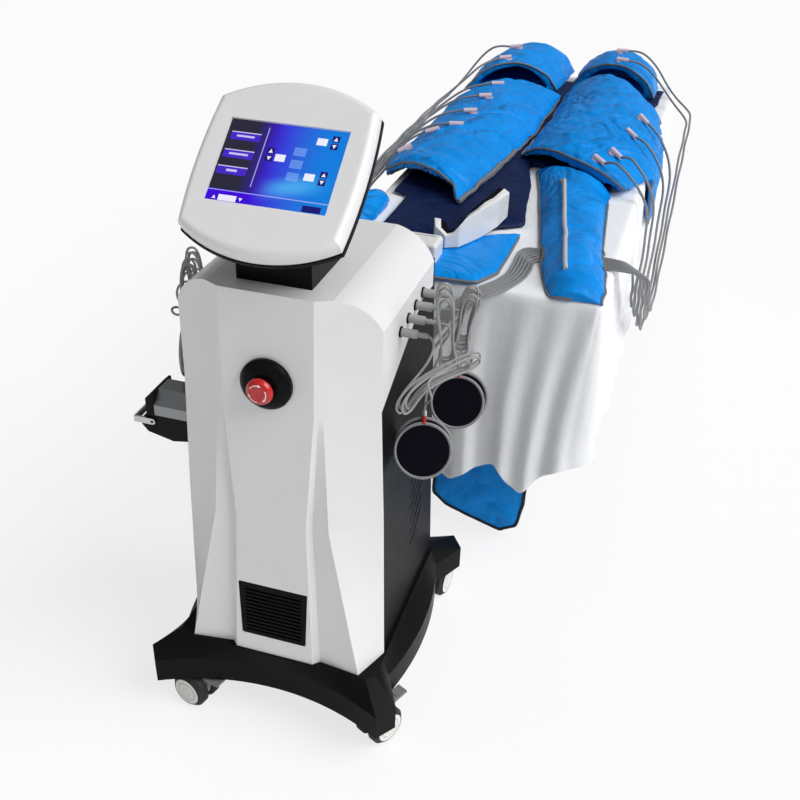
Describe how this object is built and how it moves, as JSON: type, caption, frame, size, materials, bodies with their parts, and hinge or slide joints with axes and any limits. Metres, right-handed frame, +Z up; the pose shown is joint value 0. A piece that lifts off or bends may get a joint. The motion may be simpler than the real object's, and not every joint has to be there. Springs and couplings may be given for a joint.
{
  "type": "pressotherapy set",
  "caption": "Wheeled air-pressure massage console with tilting screen, stop button and electrode leads, hosed to an inflatable blue suit laid out on a sheeted couch.",
  "frame": {"origin": "on the floor under the middle of the console's base", "axes": "+Z up, +Y from the console's front to its back and along the couch, +X to the operator's right"},
  "size_m": [0.888, 2.6655, 1.2377],
  "materials": {
    "shell_white": "moulded satin white",
    "cover_black": "fine matt grain",
    "base_black": "fine matt grain",
    "grille_black": "matt",
    "stop_black": "satin",
    "stop_red": "glossy",
    "neck_black": "satin paint",
    "steel": "brushed",
    "screen_black": "matt",
    "display": "glossy, lit from behind",
    "inner_metal": "plain",
    "manifold": "matt",
    "board_green": "lacquered",
    "fan_black": "matt",
    "caster_grey": "satin",
    "caster_wheel": "dark tyre with a pale hub",
    "pedal_grey": "matt",
    "connector_black": "matt",
    "connector_silver": "cast, bead blasted",
    "jack_black": "matt",
    "plug_grey": "matt",
    "lead_grey": "matt",
    "pad_black": "matt with a grey rim",
    "upholstery": "coated cloth",
    "frame_steel": "powder coat",
    "foot_rubber": "matt",
    "sheet_white": "plain weave",
    "suit_blue": "coated nylon with grey piping",
    "suit_lining": "dark coated nylon",
    "zip_steel": "plain",
    "coupler_white": "satin, faintly pink",
    "hose_grey": "matt",
    "goggle_white": "satin",
    "goggle_foam": "soft padding",
    "box_white": "satin"
  },
  "bodies": {
    "set": {"accessory_box": "box_white", "air_hoses_left": "hose_grey", "air_hoses_right": "hose_grey", "air_pump": "inner_metal", "base_chassis": "base_black", "boot_left": "suit_blue", "boot_right": "suit_blue", "connector_hood": "connector_silver", "connector_housing": "connector_black", "control_board": "board_green", "couch_feet": "foot_rubber", "couch_frame": "frame_steel", "couch_sheet": "sheet_white", "couch_top": "upholstery", "electrode_pads": "pad_black", "ems_leads_left": "lead_grey", "ems_leads_right": "lead_grey", "ems_plugs": "plug_grey", "estop_block": "stop_black", "estop_plate": "stop_black", "fan_frame": "fan_black", "front_grille": "grille_black", "front_shell": "shell_white", "goggle_pad": "goggle_foam", "goggle_shell": "goggle_white", "hanging_flap": "suit_lining", "hose_couplers": "coupler_white", "jack_sockets": "jack_black", "neck_bracket": "neck_black", "power_inlet": "cover_black", "power_supply": "inner_metal", "rear_cover": "cover_black", "sleeve_left": "suit_blue", "sleeve_right": "suit_blue", "suit_back": "suit_lining", "suit_left_front": "suit_blue", "suit_right_front": "suit_blue", "tilt_pin": "steel", "valve_manifold": "manifold", "waist_belt": "suit_blue"},
    "screen_head": {"screen_back": "screen_black", "screen_bezel": "shell_white", "touch_panel": "display"},
    "stop_stem": {"estop_stem": "stop_black"},
    "stop_cap": {"estop_cap": "stop_red"},
    "lever": {"connector_lever": "steel"},
    "rotor": {"fan_rotor": "fan_black"},
    "rocker": {"rocker_switch": "stop_red"},
    "zip": {"zip_pull": "zip_steel"},
    "fork_front_left": {"caster_fork_front_left": "caster_grey"},
    "wheel_front_left": {"caster_wheel_front_left": "caster_wheel"},
    "fork_front_right": {"caster_fork_front_right": "caster_grey"},
    "wheel_front_right": {"caster_wheel_front_right": "caster_wheel"},
    "fork_rear_left": {"caster_fork_rear_left": "caster_grey"},
    "wheel_rear_left": {"caster_wheel_rear_left": "caster_wheel"},
    "fork_rear_right": {"caster_fork_rear_right": "caster_grey"},
    "wheel_rear_right": {"caster_wheel_rear_right": "caster_wheel"},
    "pedal_front_left": {"brake_pedal_front_left": "pedal_grey"},
    "pedal_front_right": {"brake_pedal_front_right": "pedal_grey"}
  },
  "joints": [
    {"name": "screen_tilt", "type": "hinge", "parent": "set", "child": "screen_head", "pos_m": [0, -0.095, 1.075], "axis": [1, 0, 0], "range_deg": [-10, 10]},
    {"name": "stop_press", "type": "slide", "parent": "set", "child": "stop_stem", "axis": [0, 0.9995, -0.0322], "range_m": [0, 0.004], "stiffness_N_per_m": 1500, "springref_m": -0.003},
    {"name": "stop_twist", "type": "hinge", "parent": "stop_stem", "child": "stop_cap", "pos_m": [0, -0.2113, 0.786], "axis": [0, -0.9995, 0.0322], "range_deg": [0, 30], "stiffness_Nm_per_rad": 0.2},
    {"name": "lever_swing", "type": "hinge", "parent": "set", "child": "lever", "pos_m": [-0.2768, -0.091, 0.601], "axis": [0, -1, 0], "range_deg": [0, 75]},
    {"name": "fan_spin", "type": "hinge", "parent": "set", "child": "rotor", "pos_m": [0, 0.183, 0.296], "axis": [0, 1, 0], "continuous": true},
    {"name": "rocker_tip", "type": "hinge", "parent": "set", "child": "rocker", "pos_m": [0.12, 0.196, 0.293], "axis": [1, 0, 0], "range_deg": [-8, 8]},
    {"name": "zip_run", "type": "slide", "parent": "set", "child": "zip", "axis": [0.1681, -0.9858, 0], "range_m": [0, 0.5]},
    {"name": "swivel_front_left", "type": "hinge", "parent": "set", "child": "fork_front_left", "pos_m": [-0.2, -0.226, 0.09], "axis": [0, 0, 1], "continuous": true},
    {"name": "roll_front_left", "type": "hinge", "parent": "fork_front_left", "child": "wheel_front_left", "pos_m": [-0.17682, -0.23221, 0.04], "axis": [0.2588, 0.9659, 0], "continuous": true},
    {"name": "brake_front_left", "type": "hinge", "parent": "fork_front_left", "child": "pedal_front_left", "pos_m": [-0.14398, -0.24101, 0.074], "axis": [0.2588, 0.9659, 0], "range_deg": [0, 15]},
    {"name": "swivel_front_right", "type": "hinge", "parent": "set", "child": "fork_front_right", "pos_m": [0.2, -0.226, 0.09], "axis": [0, 0, 1], "continuous": true},
    {"name": "roll_front_right", "type": "hinge", "parent": "fork_front_right", "child": "wheel_front_right", "pos_m": [0.2109, -0.20462, 0.04], "axis": [-0.891, 0.454, 0], "continuous": true},
    {"name": "brake_front_right", "type": "hinge", "parent": "fork_front_right", "child": "pedal_front_right", "pos_m": [0.22633, -0.17432, 0.074], "axis": [-0.891, 0.454, 0], "range_deg": [0, 15]},
    {"name": "swivel_rear_left", "type": "hinge", "parent": "set", "child": "fork_rear_left", "pos_m": [-0.2, 0.226, 0.09], "axis": [0, 0, 1], "continuous": true},
    {"name": "roll_rear_left", "type": "hinge", "parent": "fork_rear_left", "child": "wheel_rear_left", "pos_m": [-0.19179, 0.24855, 0.04], "axis": [-0.9397, 0.342, 0], "continuous": true},
    {"name": "swivel_rear_right", "type": "hinge", "parent": "set", "child": "fork_rear_right", "pos_m": [0.2, 0.226, 0.09], "axis": [0, 0, 1], "continuous": true},
    {"name": "roll_rear_right", "type": "hinge", "parent": "fork_rear_right", "child": "wheel_rear_right", "pos_m": [0.20334, 0.24977, 0.04], "axis": [-0.9903, 0.1392, 0], "continuous": true}
  ]
}
